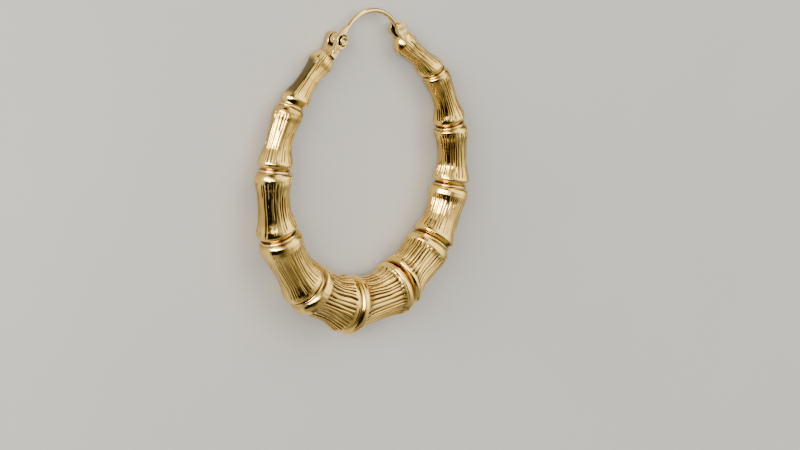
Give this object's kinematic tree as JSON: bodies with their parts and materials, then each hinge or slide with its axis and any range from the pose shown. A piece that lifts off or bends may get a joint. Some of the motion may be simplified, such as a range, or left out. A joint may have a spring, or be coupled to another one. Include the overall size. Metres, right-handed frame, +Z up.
{
  "type": "bamboo earring",
  "caption": "Oval bamboo hoop earring in gold, graduated segments, closed by a hinged ear wire.",
  "frame": {"origin": "Middle of the outline seen from above, on the surface that the earring lies on.", "axes": "+X across the hoop from the hinge side to the catch side, +Y from the heavy middle segment to the ear wire, +Z up, nearly square to the hoop's own plane, which dips by about 3 degrees towards +Y as the thin end rests on its rivet."},
  "size_m": [0.055, 0.0624, 0.01],
  "materials": {
    "gold": "polished, with fluted bamboo grain",
    "gold_wire": "polished"
  },
  "bodies": {
    "hoop_body": {"hoop": "gold", "hinge_pin": "gold_wire"},
    "wire_body": {"ear_wire": "gold_wire"}
  },
  "joints": [
    {"name": "ear_wire_hinge", "type": "hinge", "parent": "hoop_body", "child": "wire_body", "pos_m": [-0.00675, 0.02641, 0.00209], "axis": [0, 0.056, 0.9984], "range_deg": [0, 100]}
  ]
}
